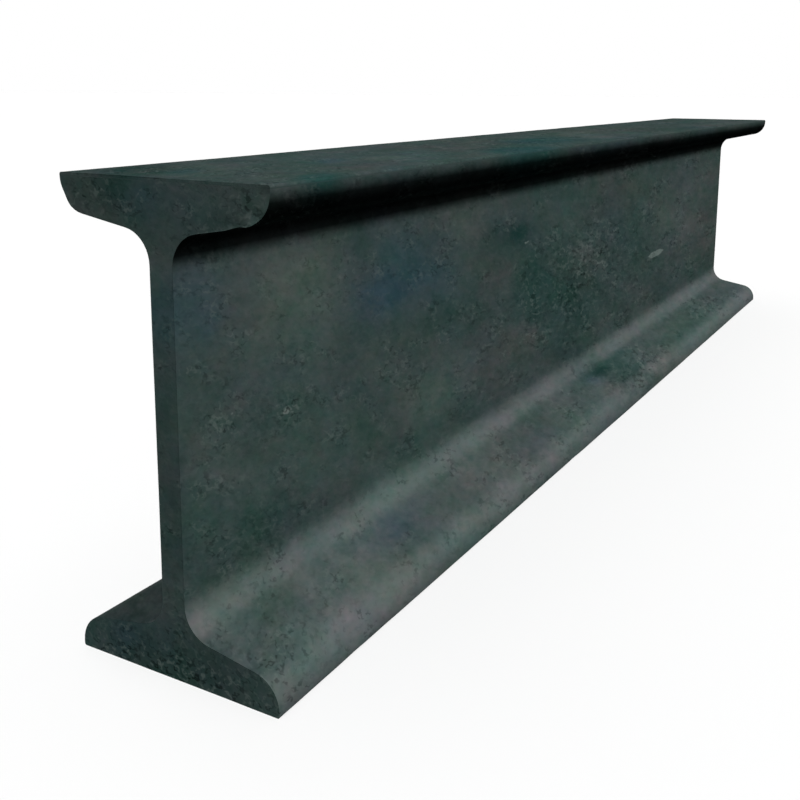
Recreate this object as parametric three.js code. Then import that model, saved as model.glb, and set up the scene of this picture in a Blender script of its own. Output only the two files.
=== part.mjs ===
// A length of hot-rolled steel I-beam with tapered flanges.
//
// Millimetres, +Z up. The beam lies along X and stands on its bottom flange. The origin is the
// middle of the underside. Web, flanges, root fillets and toes are one piece of metal, so the
// whole beam is one section carried along its length and cut square at both ends.

import * as THREE from "three";

// Driving dimensions
const beamLength = 885;
const sectionDepth = 200;     // across the outer faces of the two flanges
const flangeWidth = 102;
const webThickness = 11.5;
const flangeThickness = 17.7; // at the gauge line, half-way out along an outstand
const flangeSlope = 1 / 6;    // the inner face of a flange rises this much for each unit towards the web
const rootRadius = 13.6;      // fillet where the web runs into a flange
const toeRadius = 13.5;       // rounding of a flange's inner edge
const cornerRadius = 1;       // outer edges, eased by the rolls
const arcDivisions = 6;       // half the number of facets along one rounding

// What follows from them
const outstand = (flangeWidth - webThickness) / 2;
const taperOverHalfOutstand = (flangeSlope * outstand) / 2;
const toeThickness = flangeThickness - taperOverHalfOutstand;
const rootThickness = flangeThickness + taperOverHalfOutstand;
const innerFaceLength = outstand * Math.hypot(1, flangeSlope);

// The inner face meets both the toe and the web at a right angle opened by the taper. A rounding
// of radius r uses up r / roundingReach of each face it runs into.
const roundingReach = Math.tan((Math.PI / 2 + Math.atan(flangeSlope)) / 2);

// A rounding can be no larger than the faces it runs into allow.
const toeRounding = Math.min(toeRadius, (toeThickness - cornerRadius) * roundingReach);
const faceLeftForRoot = innerFaceLength - toeRounding / roundingReach;
const rootRounding = Math.min(rootRadius, faceLeftForRoot * roundingReach);

// The sharp corners of one quarter of the section, measured from its centre, each with the radius
// that it is rounded to: outer edge, toe, root.
const quarterCorners = [
  { y: flangeWidth / 2, z: sectionDepth / 2, radius: cornerRadius },
  { y: flangeWidth / 2, z: sectionDepth / 2 - toeThickness, radius: toeRounding },
  { y: webThickness / 2, z: sectionDepth / 2 - rootThickness, radius: rootRounding },
];

// The quarter mirrored into the other three, so that the corners run once round the section.
function sectionCorners() {
  const corners = [];
  for (const [signY, signZ] of [[1, 1], [1, -1], [-1, -1], [-1, 1]]) {
    const quarter = quarterCorners.map(({ y, z, radius }) => ({
      point: new THREE.Vector2(signY * y, signZ * z),
      radius,
    }));
    corners.push(...(signY === signZ ? quarter : quarter.reverse()));
  }
  return corners;
}

// A closed outline through the corners, each one replaced by an arc tangent to both of its sides.
function roundedOutline(corners) {
  const outline = new THREE.Shape();
  corners.forEach(({ point, radius }, index) => {
    const before = corners.at(index - 1).point;
    const after = corners[(index + 1) % corners.length].point;
    const toBefore = before.clone().sub(point).normalize();
    const toAfter = after.clone().sub(point).normalize();
    const halfAngle = Math.acos(toBefore.dot(toAfter)) / 2;
    const reach = radius / Math.tan(halfAngle);
    const start = point.clone().addScaledVector(toBefore, reach);
    const end = point.clone().addScaledVector(toAfter, reach);
    const middle = toBefore.clone().add(toAfter).normalize();
    const centre = point.clone().addScaledVector(middle, radius / Math.sin(halfAngle));
    const startAngle = start.sub(centre).angle();
    const endAngle = end.sub(centre).angle();
    const turnsClockwise = toBefore.cross(toAfter) > 0;
    outline.absarc(centre.x, centre.y, radius, startAngle, endAngle, turnsClockwise);
  });
  outline.closePath();
  return outline;
}

const millScale = new THREE.MeshStandardMaterial({
  name: "mill_scale",
  color: 0x45524f,
  roughness: 0.6,
  metalness: 0.5,
});

function makeBeam() {
  const geometry = new THREE.ExtrudeGeometry(roundedOutline(sectionCorners()), {
    depth: beamLength,
    curveSegments: arcDivisions,
    bevelEnabled: false,
  });
  const beam = new THREE.Mesh(geometry, millScale);
  beam.name = "i_beam";
  // The section is drawn flat and carried along Z: turn it so that it stands and runs along X.
  beam.rotation.set(Math.PI / 2, 0, Math.PI / 2, "ZYX");
  beam.position.set(-beamLength / 2, 0, sectionDepth / 2);
  return beam;
}

const group = new THREE.Group();
group.add(makeBeam());

export default group;
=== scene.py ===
# A length of rolled steel I-beam on a pale studio floor.
# Everything is in metres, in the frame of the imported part: the beam lies along X on its bottom flange.

import math

import bpy
import numpy as np
from mathutils import Matrix, Vector


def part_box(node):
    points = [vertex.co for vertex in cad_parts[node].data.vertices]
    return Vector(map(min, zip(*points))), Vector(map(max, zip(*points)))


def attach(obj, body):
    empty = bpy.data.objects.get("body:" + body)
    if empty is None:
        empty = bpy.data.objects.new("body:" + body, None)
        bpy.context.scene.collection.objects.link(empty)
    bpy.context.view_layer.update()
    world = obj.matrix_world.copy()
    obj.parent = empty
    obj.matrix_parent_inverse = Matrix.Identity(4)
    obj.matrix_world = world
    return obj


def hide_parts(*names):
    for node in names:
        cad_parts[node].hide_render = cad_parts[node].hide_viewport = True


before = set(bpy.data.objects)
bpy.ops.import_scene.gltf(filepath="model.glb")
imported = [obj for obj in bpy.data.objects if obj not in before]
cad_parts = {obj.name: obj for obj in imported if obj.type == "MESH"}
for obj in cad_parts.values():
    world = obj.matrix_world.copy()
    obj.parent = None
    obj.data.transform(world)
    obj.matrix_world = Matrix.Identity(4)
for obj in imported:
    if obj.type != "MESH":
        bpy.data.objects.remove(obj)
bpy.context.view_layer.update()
scene = bpy.context.scene


viewpoint = {
    "place": (-0.7157, -0.2588, 0.2326),
    "heading": 29.88,    # degrees from +X towards +Y
    "dip": 10.26,        # degrees below the horizon
    "roll": 0.29,
    "focalLength": 45.34,
    "sensorWidth": 36.0,
    "shiftUp": -0.1625,
    "seesFrom": 0.01,
    "seesTo": 200.0,
}


def aimCamera(settings):
    # forward from heading and dip, right level with the floor, up square to both, then both rolled
    heading, dip, roll = (math.radians(settings[k]) for k in ("heading", "dip", "roll"))
    forward = Vector((math.cos(heading) * math.cos(dip), math.sin(heading) * math.cos(dip), -math.sin(dip)))
    level = Vector((math.sin(heading), -math.cos(heading), 0.0))
    upright = level.cross(forward)
    right = level * math.cos(roll) + upright * math.sin(roll)
    up = upright * math.cos(roll) - level * math.sin(roll)
    data = bpy.data.cameras.new("beamCamera")
    data.sensor_width = settings["sensorWidth"]
    data.lens = settings["focalLength"]
    data.shift_y = settings["shiftUp"]
    data.clip_start, data.clip_end = settings["seesFrom"], settings["seesTo"]
    camera = bpy.data.objects.new("beamCamera", data)
    turned = Matrix((right, up, -forward)).transposed().to_4x4()
    camera.matrix_world = Matrix.Translation(settings["place"]) @ turned
    scene.collection.objects.link(camera)
    scene.camera = camera


aimCamera(viewpoint)
print("camera placed")


class NodeSheet:
    # a node tree with short calls for the kinds of node that the finishes use
    def __init__(self, tree):
        self.tree = tree
        self.tree.nodes.clear()

    def add(self, kind, inputs=None, **values):
        node = self.tree.nodes.new(kind)
        for name, value in values.items():
            setattr(node, name, value)
        for name, value in (inputs or {}).items():
            self.feed(node.inputs[name], value)
        return node

    def feed(self, socket, value):
        if isinstance(value, bpy.types.NodeSocket):
            self.tree.links.new(value, socket)
        else:
            socket.default_value = value

    def maths(self, operation, *values, clamp=False):
        inputs = dict(enumerate(values))
        return self.add("ShaderNodeMath", inputs, operation=operation, use_clamp=clamp).outputs[0]

    def times(self, first, *others):
        for other in others:
            first = self.maths("MULTIPLY", first, other)
        return first

    def vector(self, operation, *values, scale=None):
        inputs = dict(enumerate(values))
        if scale is not None:
            inputs["Scale"] = scale
        return self.add("ShaderNodeVectorMath", inputs, operation=operation).outputs[0]

    def ease(self, value, low, high, first=0.0, last=1.0):
        # first below low, last above high, smooth between; low may be the larger of the two
        return self.add("ShaderNodeMapRange", {
            "Value": value, "From Min": low, "From Max": high, "To Min": first, "To Max": last,
        }, interpolation_type="SMOOTHSTEP").outputs[0]

    def blend(self, amount, first, second):
        # from one colour or place to another
        node = self.add("ShaderNodeMix", data_type="RGBA")
        for socket, value in ((node.inputs[0], amount), (node.inputs[6], first), (node.inputs[7], second)):
            self.feed(socket, (*value, 1.0) if isinstance(value, tuple) else value)
        return node.outputs[2]

    def between(self, amount, first, second):
        # from one number to another
        return self.add("ShaderNodeMix", {0: amount, 2: first, 3: second}, data_type="FLOAT").outputs[0]

    def painted(self, name, output="Fac"):
        # what the mesh holds under this name
        return self.add("ShaderNodeAttribute", attribute_name=name).outputs[output]


studio = {
    "floorSize": 60.0,
    "floorTone": (0.80, 0.80, 0.80, 1.0),     # the part of the floor's white that the lamps give
    "floorGlow": 0.05,                         # the part that the shadow doesn't take away
    "floorBounce": (0.06, 0.06, 0.06, 1.0),    # what the floor throws back up at the beam
    "worldTone": (1.0, 1.0, 1.0, 1.0),
    "worldFill": 0.10,                         # strength of the world as a light
    "worldSeen": 1.0,                          # and as a background
}

# direction towards the lamp, strength, softness in degrees, and whether it throws a shadow
lamps = {
    "keySoftbox": ((-0.371, -0.597, 0.711), 3.4, 20.0, False),
    "backSoftbox": ((0.50, 0.80, 0.33), 1.9, 30.0, False),
    "skySoftbox": ((0.05, 0.12, 0.99), 0.42, 70.0, True),
}


def seenDirectly(sheet):
    # 1 for rays from the camera and for mirror and glass rays, else 0
    path = sheet.add("ShaderNodeLightPath").outputs
    direct = sheet.maths("MAXIMUM", path["Is Camera Ray"], path["Is Glossy Ray"])
    return sheet.maths("MAXIMUM", direct, path["Is Transmission Ray"])


def buildFloor(settings):
    half = settings["floorSize"] / 2
    mesh = bpy.data.meshes.new("studioFloor")
    corners = [(-half, -half, 0), (half, -half, 0), (half, half, 0), (-half, half, 0)]
    mesh.from_pydata(corners, [], [(0, 1, 2, 3)])
    floor = bpy.data.objects.new("studioFloor", mesh)
    scene.collection.objects.link(floor)
    paint = bpy.data.materials.new("paleFloor")
    paint.use_nodes = True
    sheet = NodeSheet(paint.node_tree)
    lit = sheet.add("ShaderNodeBsdfDiffuse", {"Color": settings["floorTone"]}).outputs[0]
    glow = sheet.add("ShaderNodeEmission", {"Strength": settings["floorGlow"]}).outputs[0]
    seen = sheet.add("ShaderNodeAddShader", {0: lit, 1: glow}).outputs[0]
    bounce = sheet.add("ShaderNodeBsdfDiffuse", {"Color": settings["floorBounce"]}).outputs[0]
    mixed = sheet.add("ShaderNodeMixShader", {0: seenDirectly(sheet), 1: bounce, 2: seen}).outputs[0]
    sheet.add("ShaderNodeOutputMaterial", {"Surface": mixed})
    mesh.materials.append(paint)


def buildWorld(settings):
    world = bpy.data.worlds.new("studioWorld")
    scene.world = world
    world.use_nodes = True
    sheet = NodeSheet(world.node_tree)

    def background(strength):
        inputs = {"Color": settings["worldTone"], "Strength": settings[strength]}
        return sheet.add("ShaderNodeBackground", inputs).outputs[0]

    fill, seen = background("worldFill"), background("worldSeen")
    mixed = sheet.add("ShaderNodeMixShader", {0: seenDirectly(sheet), 1: fill, 2: seen}).outputs[0]
    sheet.add("ShaderNodeOutputWorld", {"Surface": mixed})


def hangLamp(name, direction, strength, softness, throwsShadow):
    data = bpy.data.lights.new(name, "SUN")
    data.energy = strength
    data.angle = math.radians(softness)
    data.use_shadow = throwsShadow
    lamp = bpy.data.objects.new(name, data)
    lamp.rotation_euler = Vector(direction).to_track_quat("Z", "Y").to_euler()
    scene.collection.objects.link(lamp)


buildFloor(studio)
buildWorld(studio)
for name, lamp in lamps.items():
    hangLamp(name, *lamp)
scene.view_settings.view_transform = "Standard"
print("stage and lamps ready")


section = {
    "webThickness": 0.0115,
    "flangeThickness": 0.0177,   # half-way out along an outstand
    "flangeSlope": 1 / 6,
    "rootRadius": 0.0136,
    "toeRadius": 0.0135,
    "cornerRadius": 0.001,
    "cornerCuts": 3,
    "toeCuts": 9,
    "faceCuts": 8,
    "rootCuts": 9,
    "webCuts": 56,
    "acrossCuts": 36,
    "lengthCuts": 296,
    "endCrowding": 0.45,
    "sharpFrom": 50.0,           # degrees between two faces that meet in a hard edge
}

relief = {
    "seed": 11,
    "sway": ((0.090, 0.00016), (0.034, 0.00010), (0.013, 0.00006)),   # size of a swell and its depth
    # place, reach and depth of single knocks, all pressed inwards
    "knocks": (
        ((-0.4425, -0.036, 0.1845), 0.0030, 0.0011),
        ((-0.4425, -0.043, 0.1885), 0.0035, 0.0010),
        ((-0.4425, -0.049, 0.1960), 0.0030, 0.0007),
        ((-0.4425, 0.048, 0.1920), 0.0040, 0.0007),
        ((-0.3900, -0.0505, 0.0090), 0.0060, 0.0006),
        ((-0.1300, -0.0505, 0.0080), 0.0070, 0.0005),
        ((0.1020, -0.0510, 0.1990), 0.0080, 0.0008),
        ((0.0400, -0.0490, 0.0110), 0.0060, 0.0007),
    ),
}

# Painted light round the section, as (height, value) stops. Pale bands of painted highlight lie along the toe
# and the root of the foot, and hardly any on the sloping face between them. The key and back lamps throw no
# shadow, so the deep shade under the top flange is painted into the scale, as the share of its colour that is
# kept: least on the root and the toe of the top flange, which the key lamp partly reaches, and more on the
# face between them, which it misses. Painted shade also darkens the top face, and on the back half the
# sloping face of the foot. The web is a little darker just above the root of the foot.
paintedLight = {
    "highlightByHeight": (
        (0.0000, 0.50), (0.0060, 0.65), (0.0115, 0.94), (0.0150, 0.46), (0.0158, 0.17), (0.0198, 0.17),
        (0.0220, 0.72), (0.0255, 0.90), (0.0300, 0.58), (0.0340, 0.10), (0.0370, 0.00),
    ),
    "paintedShadeByHeight": (
        (0.0330, 0.94), (0.0400, 0.88), (0.0600, 1.00), (0.1500, 1.05), (0.1650, 0.90), (0.1684, 0.46),
        (0.1704, 0.10), (0.1760, 0.10), (0.1785, 0.24), (0.1865, 0.24), (0.1885, 0.10), (0.1932, 0.10),
        (0.1958, 0.50), (0.1985, 0.92), (0.2000, 0.76),
    ),
    "backPaintedShadeByHeight": ((0.0080, 1.00), (0.0165, 0.42), (0.0205, 0.42), (0.0330, 1.00)),
    # painted shade on the bottom face of the foot
    "underPaintedShade": 0.5,
    "endDepth": 0.006,           # how far a patch of the sawn end reaches into the beam
}

# Patches and marks of the scale on each face, and patches that brighten or dim the painted highlight on the
# foot
# and the toe: where each lies, how far it reaches and how strong it is.
# Places are along and up on the web and the toe, along and across on the foot and the top, and across and up
# on the sawn end. On the top there is one reach, in the drawn-out measure of the grain.
patches = {
    "web": {
        "ashen": (
            ((-0.366, 0.145), (0.032, 0.020), 0.9),
            ((-0.340, 0.128), (0.036, 0.012), 0.4),
            ((-0.200, 0.155), (0.030, 0.010), 0.8),
            ((-0.240, 0.062), (0.036, 0.014), 0.8),
            ((0.220, 0.115), (0.040, 0.016), 0.8),
            ((0.330, 0.120), (0.110, 0.040), 0.4),
        ),
        "umber": (
            ((-0.150, 0.118), (0.040, 0.012), 0.5),
            ((-0.150, 0.066), (0.040, 0.012), 0.4),
            ((-0.096, 0.068), (0.013, 0.007), 0.8),
            ((0.270, 0.075), (0.050, 0.014), 0.5),
            ((0.385, 0.095), (0.045, 0.035), 0.7),
        ),
        "green": (
            ((0.010, 0.090), (0.130, 0.040), 0.8),
            ((-0.087, 0.100), (0.036, 0.024), 0.5),
            ((-0.160, 0.146), (0.020, 0.012), 0.6),
            ((-0.225, 0.098), (0.060, 0.022), 0.4),
            ((-0.305, 0.117), (0.024, 0.006), 0.7),
            ((-0.400, 0.046), (0.030, 0.010), 0.4),
            ((0.130, 0.056), (0.060, 0.012), 0.4),
        ),
        "slate": (
            ((-0.262, 0.140), (0.046, 0.016), 1.0),    # the broad blue patch high on the web
            ((-0.225, 0.124), (0.022, 0.012), 0.6),
            ((-0.436, 0.149), (0.022, 0.018), 1.2),    # and the one at its sawn edge
        ),
        "blue": (
            ((-0.290, 0.131), (0.026, 0.009), 1.0),
            ((-0.275, 0.138), (0.040, 0.022), 0.45),
        ),
        "teal": (
            ((-0.124, 0.141), (0.024, 0.009), 1.0),    # the dark spot below the top flange
            ((-0.096, 0.082), (0.012, 0.007), 0.5),
        ),
        "pocked": (
            ((0.010, 0.108), (0.080, 0.022), 1.1),     # the scratched stretch in the middle
            ((0.060, 0.080), (0.160, 0.040), 0.5),
            ((-0.373, 0.094), (0.014, 0.008), 0.9),
            ((-0.410, 0.101), (0.016, 0.010), 0.9),
            ((-0.092, 0.080), (0.014, 0.010), 1.3),
            ((-0.395, 0.044), (0.030, 0.014), 0.7),
        ),
        "chipped": (
            ((0.200, 0.0830), (0.030, 0.0036), 0.95),  # the one large chip
            ((-0.109, 0.1330), (0.008, 0.0025), 0.6),
            ((-0.373, 0.0940), (0.006, 0.0030), 0.6),
            ((-0.380, 0.0980), (0.004, 0.0020), 0.5),
            ((-0.411, 0.1020), (0.004, 0.0030), 0.5),
        ),
    },
    "foot": {
        "ashen": (((-0.370, -0.028), (0.026, 0.016), 0.9), ((-0.220, -0.028), (0.022, 0.016), 0.8)),
        "umber": (((0.000, -0.028), (1.200, 0.016), 0.35), ((0.370, -0.024), (0.050, 0.014), 0.5)),
        "green": (
            ((0.010, -0.024), (0.060, 0.018), 1.0),
            ((0.070, -0.030), (0.050, 0.016), 1.0),
            ((0.375, -0.028), (0.070, 0.018), 0.4),
        ),
        "slate": (
            ((-0.304, -0.018), (0.030, 0.012), 0.8),
            ((-0.150, -0.038), (0.030, 0.010), 0.7),
            ((-0.014, -0.0235), (0.012, 0.006), 1.2),
        ),
        "blue": (((-0.310, -0.024), (0.020, 0.014), 0.7),),
        "teal": (((0.010, -0.0205), (0.014, 0.0035), 1.6),),    # the dark line at the root
        "pocked": (((-0.420, -0.038), (0.040, 0.020), 0.4), ((0.036, -0.042), (0.050, 0.014), 1.1)),
        # patches of painted highlight: a positive strength brightens the highlight bands, a negative one dims
        # them
        "highlightPatches": (((-0.270, -0.010), (0.090, 0.012), 0.18), ((0.015, -0.010), (0.060, 0.012), -0.30)),
    },
    "toe": {
        "ashen": (((-0.385, 0.012), (0.040, 0.012), 0.8), ((0.345, 0.012), (0.060, 0.012), 0.6)),
        "chipped": (((0.038, 0.0125), (0.006, 0.0035), 1.2),),     # one small bright chip
        # patches of painted highlight on the toe, as on the foot
        "highlightPatches": (((-0.390, 0.012), (0.040, 0.010), 0.25), ((0.040, 0.012), (0.100, 0.010), -0.4)),
    },
    "end": {
        "ashen": (((0.000, 0.160), (0.010, 0.012), 0.5),),
        "umber": (((0.024, 0.185), (0.020, 0.012), 0.45),),
        "green": (
            ((-0.010, 0.190), (0.030, 0.012), 0.5),
            ((0.000, 0.095), (0.010, 0.050), 0.4),
            ((0.000, 0.012), (0.050, 0.014), 0.8),
        ),
        "slate": (((0.010, 0.192), (0.010, 0.010), 0.8),),
        "blue": (((0.026, 0.012), (0.010, 0.008), 0.5),),
        "teal": (((-0.020, 0.006), (0.014, 0.010), 0.4), ((0.022, 0.006), (0.012, 0.010), 0.5)),
        "pocked": (
            ((0.000, 0.003), (0.050, 0.010), 2.0),     # all along the bottom edge
            ((-0.034, 0.190), (0.014, 0.010), 0.7),
            ((0.034, 0.192), (0.014, 0.010), 0.6),
        ),
    },
    "top": {
        "umber": (
            ((-0.357, -0.035), 0.010, 0.8),
            ((-0.230, -0.005), 0.030, 0.4),
            ((0.080, -0.020), 0.030, 0.6),
            ((-0.420, 0.030), 0.018, 0.8),
        ),
        "ashen": (
            ((-0.290, -0.020), 0.018, 0.9),
            ((-0.020, -0.010), 0.018, 0.9),
            ((0.385, -0.012), 0.012, 0.8),
        ),
        "green": (((-0.092, -0.033), 0.012, 0.6), ((0.150, -0.030), 0.018, 0.6)),
        "sea": (
            ((-0.406, -0.046), 0.010, 1.3),
            ((-0.210, -0.048), 0.020, 1.4),
            ((-0.105, -0.014), 0.016, 1.5),
        ),
        "blue": (((-0.127, -0.005), 0.010, 0.7),),
        "teal": (((-0.425, 0.030), 0.018, 1.0),),      # the dull corner beside the sawn end
        "slate": (
            ((-0.415, 0.011), 0.009, 0.9),
            ((-0.335, -0.004), 0.010, 0.9),
            ((-0.300, -0.015), 0.030, 0.5),
            ((-0.040, -0.030), 0.024, 0.5),
            ((0.186, -0.040), 0.010, 0.6),
        ),
    },
}

beamLow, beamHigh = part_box("i_beam")


def arcPoints(centre, radius, start, end, cuts):
    # centre + radius * (cos a, sin a) for a from start to end
    angle = np.linspace(start, end, cuts + 1)
    return np.column_stack([centre[0] + radius * np.cos(angle), centre[1] + radius * np.sin(angle)])


def toeThickness(settings, half):
    # the flange's thickness is stated half-way between web and toe, and falls by the slope towards the toe
    return settings["flangeThickness"] - settings["flangeSlope"] * (half - settings["webThickness"] / 2) / 2


def halfWidths(settings, low, high):
    # Half-width against height, from the top of the section to the bottom: outer corner, toe edge, toe arc,
    # sloping inner face, root arc and half the web, then the same mirrored.
    width, depth = high.y - low.y, high.z - low.z
    half, web = width / 2, settings["webThickness"] / 2
    slope, angle = settings["flangeSlope"], math.atan(settings["flangeSlope"])
    toe, root, corner = settings["toeRadius"], settings["rootRadius"], settings["cornerRadius"]

    def innerFace(y):
        return depth - toeThickness(settings, half) - slope * (half - y)

    toeCentre = (half - toe, innerFace(half - toe) + toe / math.cos(angle))
    rootCentre = (web + root, innerFace(web + root) - root / math.cos(angle))
    quarter = np.vstack([
        arcPoints((half - corner, depth - corner), corner, math.pi / 2, 0.0, settings["cornerCuts"]),
        arcPoints(toeCentre, toe, 0.0, angle - math.pi / 2, settings["toeCuts"]),
    ])
    rootArc = arcPoints(rootCentre, root, math.pi / 2 + angle, math.pi, settings["rootCuts"])
    face = np.linspace(quarter[-1], rootArc[0], settings["faceCuts"] + 1)[1:-1]
    webHalf = np.linspace(rootArc[-1], (web, depth / 2), settings["webCuts"] // 2 + 1)[1:]
    quarter = np.vstack([quarter, face, rootArc, webHalf])
    mirrored = quarter[-2::-1] * (1, -1) + (0, depth)
    return np.vstack([quarter, mirrored]) + (0, low.z)


def crowdedCuts(count, crowding):
    # even steps from 0 to 1, pulled towards both ends by a sine
    step = np.linspace(0, 1, count + 1)
    return step - crowding * np.sin(2 * math.pi * step) / (2 * math.pi)


def boxSkin(shape):
    # The skin of a block of shape (nx, ny, nz) cells: lattice indices of its corners, and quads over them
    # with their faces outward. Indices are shared between neighbouring sides, so the skin is closed.
    nx, ny, nz = shape
    number = -np.ones((nx + 1, ny + 1, nz + 1), int)
    skin = np.zeros(number.shape, bool)
    skin[[0, -1]] = skin[:, [0, -1]] = skin[:, :, [0, -1]] = True
    number[skin] = np.arange(skin.sum())

    def side(grid, flip):
        quads = np.stack([grid[:-1, :-1], grid[1:, :-1], grid[1:, 1:], grid[:-1, 1:]], -1).reshape(-1, 4)
        return quads[:, ::-1] if flip else quads

    sides = [
        side(number[0], True), side(number[-1], False),
        side(number[:, 0], False), side(number[:, -1], True),
        side(number[:, :, 0], True), side(number[:, :, -1], False),
    ]
    return np.argwhere(skin), np.vstack(sides)


def softNoise(points, size, random):
    # value noise: a random number on every corner of a lattice of the given size, blended smoothly between
    # the eight corners round a point, 0 to 1
    place = (points - points.min(0)) / size
    cell = np.floor(place).astype(int)
    share = place - cell
    share = share * share * (3 - 2 * share)
    corners = random.random(cell.max(0) + 2)
    total = np.zeros(len(points))
    for offset in np.ndindex(2, 2, 2):
        weight = np.prod(np.where(offset, share, 1 - share), axis=1)
        total += weight * corners[tuple((cell + offset).T)]
    return total


def pressIn(points, normals, settings):
    # each point moves inwards along its normal by the soft noises and by depth * exp(-(distance / reach)^2)
    random = np.random.default_rng(settings["seed"])
    depth = sum(deep * softNoise(points, size, random) for size, deep in settings["sway"])
    for place, reach, deep in settings["knocks"]:
        away = np.linalg.norm(points - place, axis=1) / reach
        depth = depth + deep * np.exp(-away ** 2)
    return points - normals * depth[:, None]


# How patterns lie on the skin: plain at the near end of the beam, larger and drawn out towards the far one
grain = {
    "growth": 2.24,        # per metre along the beam
    "drawnOut": 1.35,      # powers of the growth that divide the pattern's pace along the beam
    "enlarged": 0.5,       # and across it
    "sides": (0.56, -0.42, 0.36, 0.80),   # pace of each part of the place along the beam, and pace across it
    "crown": (0.80, 1.0, 0.60),    # the top face: pace along and across, and the share kept on the diagonal
}


def layGrain(points, settings, low):
    # grown = 1 + growth * distance from the near end; the pattern's place along the beam is the integral of
    # grown^-drawnOut, and its places across and up are y and z over grown^enlarged. On the top it is drawn
    # out diagonally.
    grown = 1 + settings["growth"] * (points[:, 0] - low.x)
    power = settings["drawnOut"] - 1
    along = (1 - grown ** -power) / (power * settings["growth"])
    across, up = (points[:, 1:] / grown[:, None] ** settings["enlarged"]).T
    first, second, third, paceAcross = settings["sides"]
    sides = np.column_stack([first * along, second * along + paceAcross * across, third * along + up])
    paceAlong, paceAcross, diagonal = settings["crown"]
    along, across = paceAlong * along, paceAcross * across
    crown = np.column_stack([along - across, diagonal * (along + across), up])
    return sides, crown


def onFace(face, first, second, settings, low, high):
    # the point of a face at its own two measures; the foot rises by its slope from the toe to the web
    half = (high.y - low.y) / 2
    rise = toeThickness(settings, half) + settings["flangeSlope"] * (half - abs(second))
    return {
        "web": (first, -settings["webThickness"] / 2, second),
        "foot": (first, second, low.z + rise),
        "toe": (first, low.y, second),
        "end": (low.x, first, second),
        "top": (first, second, high.z),
    }[face]


def paintPatches(points, crown, settings, low, high):
    # for each finish, the sum over its patches of strength * exp(-d^2), with d the distance in reaches; on
    # the top face d is measured in the drawn-out places, so that its patches are drawn out as the grain is
    painted = {}
    for face, finishes in patches.items():
        for finish, places in finishes.items():
            total = painted.setdefault(finish, np.zeros(len(points)))
            for (first, second), reach, strength in places:
                centre = np.array([onFace(face, first, second, settings, low, high)])
                if face == "top":
                    gap = (crown - layGrain(centre, grain, low)[1]) / reach
                elif face == "end":
                    gap = (points - centre) / (paintedLight["endDepth"], *reach)
                else:
                    gap = (points - centre) / (reach[0], reach[1], reach[1])
                total += strength * np.exp(-(gap ** 2).sum(1))
    return painted


def byHeight(heights, stops):
    # straight lines through (height, value) stops
    return np.interp(heights, *np.transpose(stops))


def layLattice(settings, low, high):
    # A block lattice carried onto the beam: the first index runs along the length, the second across from
    # one edge to the other in shares of the half-width, the third up the half-width curve.
    widths = halfWidths(settings, low, high)[::-1]
    across = np.linspace(-1, 1, settings["acrossCuts"] + 1)
    along = low.x + (high.x - low.x) * crowdedCuts(settings["lengthCuts"], settings["endCrowding"])
    lattice, quads = boxSkin((len(along) - 1, len(across) - 1, len(widths) - 1))
    points = np.column_stack([
        along[lattice[:, 0]],
        across[lattice[:, 1]] * widths[lattice[:, 2], 0],
        widths[lattice[:, 2], 1],
    ])
    return lattice, quads, points


def weaveMesh(points, quads):
    mesh = bpy.data.meshes.new("rolledBeam")
    mesh.vertices.add(len(points))
    mesh.vertices.foreach_set("co", points.ravel())
    mesh.loops.add(quads.size)
    mesh.loops.foreach_set("vertex_index", quads.ravel())
    mesh.polygons.add(len(quads))
    mesh.polygons.foreach_set("loop_start", np.arange(0, quads.size, quads.shape[1]))
    mesh.update(calc_edges=True)
    normals = np.zeros(points.size)
    mesh.vertices.foreach_get("normal", normals)
    pressed = pressIn(points, normals.reshape(-1, 3), relief)
    mesh.vertices.foreach_set("co", pressed.ravel())
    return mesh


def paintSkin(mesh, lattice, points, settings, low, high):
    # what the finish reads from the mesh: the share of its colour kept under the painted shade, the painted
    # highlight bands, the patches, and the places where its patterns are read
    across, up = lattice[:, 1], lattice[:, 2]
    under = up == 0
    top = (up == up.max()) & (across > 0) & (across < across.max())
    heights = points[:, 2] - low.z
    # painted shade by height, more of it on the back half's foot slope, and its own on the bottom face
    shadeKept = byHeight(heights, paintedLight["paintedShadeByHeight"])
    shadeKeptBehind = shadeKept * byHeight(heights, paintedLight["backPaintedShadeByHeight"])
    shadeKept = np.where(points[:, 1] > 0, shadeKeptBehind, shadeKept)
    # painted highlight bands by height, none on the top and bottom faces, with the highlight patches added
    # below
    paintedHighlight = np.where(top | under, 0.0, byHeight(heights, paintedLight["highlightByHeight"]))
    sides, crown = layGrain(points, grain, low)
    painted = paintPatches(points, crown, settings, low, high)
    painted["shadeKept"] = np.where(under, paintedLight["underPaintedShade"], shadeKept)
    painted["paintedHighlight"] = np.clip(paintedHighlight + painted.pop("highlightPatches"), 0.0, 1.0)
    for name, values in painted.items():
        mesh.attributes.new(name, "FLOAT", "POINT").data.foreach_set("value", values.astype(np.float32))
    for name, places in (("grain", sides), ("crown", crown)):
        layer = mesh.attributes.new(name, "FLOAT_VECTOR", "POINT")
        layer.data.foreach_set("vector", places.astype(np.float32).ravel())


def rollBeam(settings, low, high):
    lattice, quads, points = layLattice(settings, low, high)
    mesh = weaveMesh(points, quads)
    paintSkin(mesh, lattice, points, settings, low, high)
    mesh.validate()
    mesh.shade_smooth()
    mesh.set_sharp_from_angle(angle=math.radians(settings["sharpFrom"]))
    beam = bpy.data.objects.new("rolledBeam", mesh)
    scene.collection.objects.link(beam)
    print("beam skin:", len(points), "points,", 2 * len(quads), "triangles")
    return beam


beam = rollBeam(section, beamLow, beamHigh)
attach(beam, "root")
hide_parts("i_beam")

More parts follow.
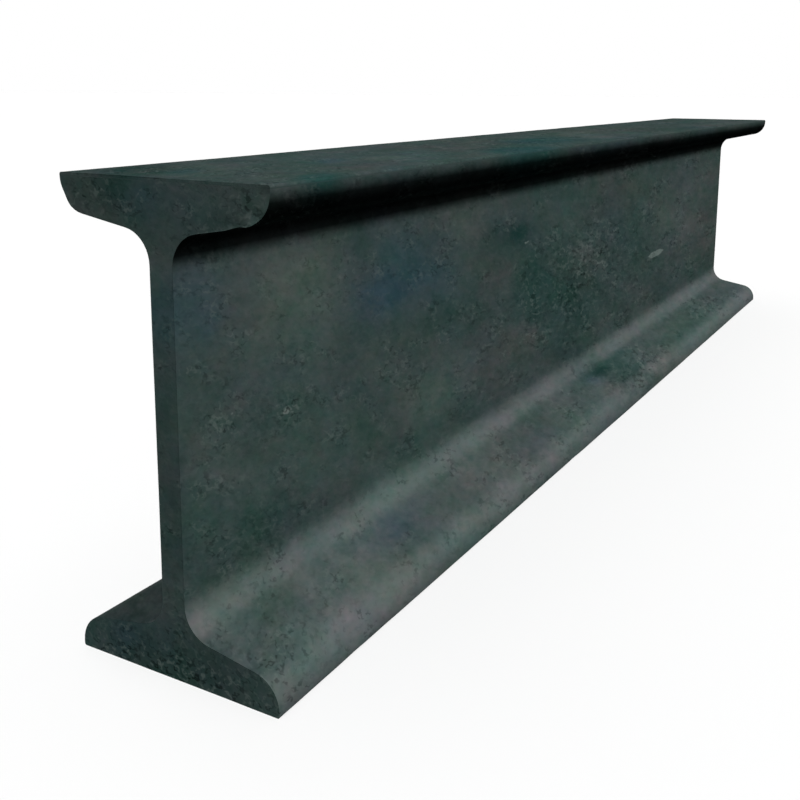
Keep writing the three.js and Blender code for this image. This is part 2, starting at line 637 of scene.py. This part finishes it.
# A noise is its size in metres, detail, roughness and seed. A fade is the value where it starts and where it
# ends, and some go on with what it gives before and after.
millScale = {
    "base": (0.0495, 0.0740, 0.0695),
    # Each finish is laid over those before it: its colour, the size and seed of its noise, how far the noise
    # alone spreads it, and above which value of the noise.
    "finishes": {
        "umber": ((0.0620, 0.0690, 0.0670), 0.030, 5.3, 0.45, 0.50),
        "ashen": ((0.0760, 0.1010, 0.0920), 0.050, 1.7, 0.30, 0.50),
        "green": ((0.0280, 0.0580, 0.0520), 0.045, 18.6, 0.35, 0.50),
        "sea": ((0.0270, 0.0700, 0.0670), 0.040, 33.1, 0.15, 0.50),
        "slate": ((0.0430, 0.0740, 0.0800), 0.034, 51.7, 0.30, 0.50),
        "blue": ((0.0320, 0.0630, 0.0760), 0.026, 8.2, 0.20, 0.50),
        "teal": ((0.0150, 0.0420, 0.0370), 0.020, 12.9, 0.15, 0.56),
    },
    "patchNoise": (4.0, 0.75),                   # detail and roughness of the noise that breaks patches up
    "patchBroken": (0.22, 0.62, 0.25, 1.25),     # how the noise weakens and strengthens a painted patch
    "patchFade": 0.30,
    "raggedNoise": (0.016, 4.0, 0.7, 3.3),
    "raggedReach": 0.030,                        # how far the outlines of patches are pushed about
    # colour of the painted highlight bands
    "highlightColour": (0.1090, 0.1310, 0.1290),
    "highlightSpared": 0.55,                        # the share of the painted highlight that a teal spot takes away
    "chipColour": (0.1250, 0.1600, 0.1480),
    "coarseNoise": (0.022, 3.8, 0.88, 9.1),
    "fineNoise": (0.0045, 1.8, 0.70, 6.6),
    "mottleGains": (1.00, 0.32),                 # contrast of the coarse and of the fine mottle
    "mottleTint": (1.24, 0.86, 0.92),            # share of the mottle for each of red, green and blue
    "pockedGain": 0.6,                           # how much stronger the mottle is where the skin is pocked
    "calm": (0.10, 0.55, 0.20),                  # how much weaker on a sawn end, on a painted highlight band, on the top
    "shadeFrayed": 0.35,                          # how much the mottle frays the edge of the painted shade
    "highlightFrayed": 0.65,                        # and of a painted highlight band
    # two drifts of the tint, between green and mauve and between olive and blue: gain for each of red, green
    # and blue, and the seed that completes their noise
    "tintNoise": (0.036, 4.0, 0.85),
    "tints": (((1.25, 0.0, 0.45), 15.0), ((-0.15, 0.0, 0.38), 27.0)),
    "strokeNoise": (0.0035, 2.0, 0.6, 31.0),
    "strokeFade": (0.090, 0.020),                # distance of the noise from its middle value at a stroke
    "signNoise": (0.00245, 1.0, 0.5, 44.0),
    "paleSign": (0.50, 0.60),
    "darkSign": (0.50, 0.40),
    "paleStroke": 0.19,
    "darkStroke": 0.23,
    "busyNoise": (0.012, 2.0, 0.6, 21.0),
    "busyFade": (0.47, 0.66, 0.30, 1.5),         # how strong strokes are outside and inside the busy places
    "chipRagged": 0.6,                           # how much the fine mottle frays a large chip
    "chipFade": (0.72, 0.88),
    "seedStep": (1.0, 0.37, -0.61),              # where in space a noise is read, for each unit of its seed
    "sawnFade": (0.6, 0.8),                      # share of the normal along the beam
    "topFade": (0.0016, 0.0010),                 # depth below the top face
    "sawnKept": 1.05,
    "roughness": (0.88, 0.62),                   # of the dull scale, and of a bare place
    "highlightBare": 0.4,                           # how bare the metal is under a painted highlight band, beside a chip
    "bareMetal": 0.25,
    "gloss": 0.0,
    "rises": (0.8, 0.5, -0.4, 0.3),              # of the coarse and fine mottle, a dark stroke and a chip
    "bump": {"Strength": 0.2, "Distance": 0.0005},
}


def cloud(sheet, place, noise, step):
    # noise whose largest patches are about size metres across, from another part of space for each seed
    size, detail, roughness, seed = noise
    moved = sheet.add("ShaderNodeMapping", {0: place, "Location": tuple(seed * each for each in step)})
    return sheet.add("ShaderNodeTexNoise", {
        "Vector": moved.outputs[0], "Scale": 1 / size, "Detail": detail, "Roughness": roughness,
    }).outputs


def layFinishes(sheet, place, settings):
    # The share of a finish is its painted patches broken up by noise, plus the noise alone above a value. The
    # noise is read at places pushed about by another noise, which gives patches ragged outlines.
    step, reach = settings["seedStep"], settings["raggedReach"]
    push = cloud(sheet, place, settings["raggedNoise"], step)["Color"]
    push = sheet.vector("ADD", push, (-0.5, -0.5, -0.5))
    ragged = sheet.vector("MULTIPLY_ADD", push, (reach, reach, reach), place)
    colour, shares = settings["base"], {}
    for name, (tone, size, seed, spread, spreadFrom) in settings["finishes"].items():
        noise = cloud(sheet, ragged, (size, *settings["patchNoise"], seed), step)["Fac"]
        laid = sheet.times(sheet.painted(name), sheet.ease(noise, *settings["patchBroken"]))
        strewn = sheet.ease(noise, spreadFrom, spreadFrom + settings["patchFade"])
        shares[name] = sheet.maths("MULTIPLY_ADD", strewn, spread, laid, clamp=True)
        colour = sheet.blend(shares[name], colour, tone)
    return colour, shares


def mottleScale(sheet, place, onTop, sawn, settings):
    # light and dark about zero: calmer on a sawn end, on the painted highlight bands and on the top
    calmSawn, calmHighlight, calmTop = settings["calm"]
    calmed = sheet.times(sheet.painted("paintedHighlight"), calmHighlight)
    calmed = sheet.maths("MAXIMUM", calmed, sheet.times(sawn, calmSawn))
    calm = sheet.maths("SUBTRACT", 1.0, sheet.maths("MAXIMUM", calmed, sheet.times(onTop, calmTop)))
    coarseGain, fineGain = settings["mottleGains"]
    coarse = cloud(sheet, place, settings["coarseNoise"], settings["seedStep"])["Fac"]
    fine = cloud(sheet, place, settings["fineNoise"], settings["seedStep"])["Fac"]
    mottle = sheet.times(sheet.maths("MULTIPLY_ADD", coarse, coarseGain, -coarseGain / 2), calm)
    mottle = sheet.maths("ADD", mottle, sheet.maths("MULTIPLY_ADD", fine, fineGain, -fineGain / 2))
    pocked = sheet.maths("MULTIPLY_ADD", sheet.painted("pocked"), settings["pockedGain"], 1.0)
    return sheet.times(mottle, pocked), coarse, fine


def fray(sheet, share, mottle, amount):
    # share + amount * mottle * 4 share (1 - share): nothing changes where the share is 0 or 1
    edge = sheet.times(share, sheet.maths("SUBTRACT", 1.0, share), mottle, 4 * amount)
    return sheet.maths("ADD", share, edge, clamp=True)


def driftTint(sheet, colour, place, settings):
    # the colour times 1 + gain * (noise - 1/2), for each of the drifts
    for gain, seed in settings["tints"]:
        drift = cloud(sheet, place, (*settings["tintNoise"], seed), settings["seedStep"])["Fac"]
        drift = sheet.vector("MULTIPLY_ADD", drift, gain, tuple(1 - each / 2 for each in gain))
        colour = sheet.vector("MULTIPLY", colour, drift)
    return colour


def scratchScale(sheet, place, fine, settings):
    # Short crooked strokes: where one noise passes its middle value, pale where another is high and dark
    # where it is low, gathered in busy places and where the skin is pocked. Large chips join the pale ones.
    stroke, sign, busy = (
        cloud(sheet, place, settings[name], settings["seedStep"])["Fac"]
        for name in ("strokeNoise", "signNoise", "busyNoise")
    )
    line = sheet.maths("ABSOLUTE", sheet.maths("SUBTRACT", stroke, 0.5))
    line = sheet.ease(line, *settings["strokeFade"])
    busy = sheet.maths("ADD", sheet.ease(busy, *settings["busyFade"]), sheet.painted("pocked"))
    pale = sheet.times(line, sheet.ease(sign, *settings["paleSign"]), busy, settings["paleStroke"])
    large = sheet.maths("MULTIPLY_ADD", fine, settings["chipRagged"], sheet.painted("chipped"))
    chip = sheet.maths("MAXIMUM", pale, sheet.ease(large, *settings["chipFade"]), clamp=True)
    dark = sheet.times(line, sheet.ease(sign, *settings["darkSign"]), busy)
    return chip, dark


def coatWithScale(piece, settings):
    paint = bpy.data.materials.new("millScale")
    paint.use_nodes = True
    sheet = NodeSheet(paint.node_tree)
    spot = sheet.add("ShaderNodeTexCoord").outputs
    height = sheet.add("ShaderNodeSeparateXYZ", {0: spot["Object"]}).outputs["Z"]
    facing = sheet.add("ShaderNodeSeparateXYZ", {0: spot["Normal"]}).outputs["X"]
    onTop = sheet.ease(height, *(beamHigh.z - depth for depth in settings["topFade"]))
    sawn = sheet.ease(sheet.maths("ABSOLUTE", facing), *settings["sawnFade"])
    place = sheet.blend(onTop, sheet.painted("grain", "Vector"), sheet.painted("crown", "Vector"))

    colour, shares = layFinishes(sheet, place, settings)
    mottle, coarse, fine = mottleScale(sheet, place, onTop, sawn, settings)
    # painted highlight: pale bands along the toe and the root of the foot, frayed by the mottle, none on a
    # sawn end
    paintedHighlight = fray(sheet, sheet.painted("paintedHighlight"), mottle, settings["highlightFrayed"])
    paintedHighlight = sheet.times(paintedHighlight, sheet.maths("SUBTRACT", 1.0, sawn))
    spared = sheet.maths("MULTIPLY_ADD", shares["teal"], -settings["highlightSpared"], 1.0)
    paintedHighlight = sheet.maths("MULTIPLY", paintedHighlight, spared, clamp=True)
    colour = sheet.blend(paintedHighlight, colour, settings["highlightColour"])
    colour = driftTint(sheet, colour, place, settings)
    chip, dark = scratchScale(sheet, place, fine, settings)
    colour = sheet.blend(chip, colour, settings["chipColour"])

    # painted shade, frayed by the mottle, set to sawnKept on a sawn end, and darkened by the dark strokes
    shadeKept = fray(sheet, sheet.painted("shadeKept"), mottle, settings["shadeFrayed"])
    shadeKept = sheet.between(sawn, shadeKept, settings["sawnKept"])
    shadeKept = sheet.times(shadeKept, sheet.maths("MULTIPLY_ADD", dark, -settings["darkStroke"], 1.0))
    light = sheet.vector("MULTIPLY_ADD", mottle, settings["mottleTint"], (1.0, 1.0, 1.0))
    colour = sheet.vector("MULTIPLY", colour, sheet.vector("SCALE", light, scale=shadeKept))

    raised = 0.0
    for part, rise in zip((coarse, fine, dark, chip), settings["rises"]):
        raised = sheet.maths("MULTIPLY_ADD", part, rise, raised)
    bump = sheet.add("ShaderNodeBump", {"Height": raised, **settings["bump"]}).outputs[0]
    bare = sheet.maths("MAXIMUM", chip, sheet.times(paintedHighlight, settings["highlightBare"]))
    bsdf = sheet.add("ShaderNodeBsdfPrincipled", {
        "Base Color": colour, "Specular IOR Level": settings["gloss"], "Normal": bump,
        "Metallic": sheet.times(bare, settings["bareMetal"]),
        "Roughness": sheet.between(bare, *settings["roughness"]),
    })
    sheet.add("ShaderNodeOutputMaterial", {"Surface": bsdf.outputs[0]})
    piece.data.materials.append(paint)


coatWithScale(beam, millScale)
print("beam coated")
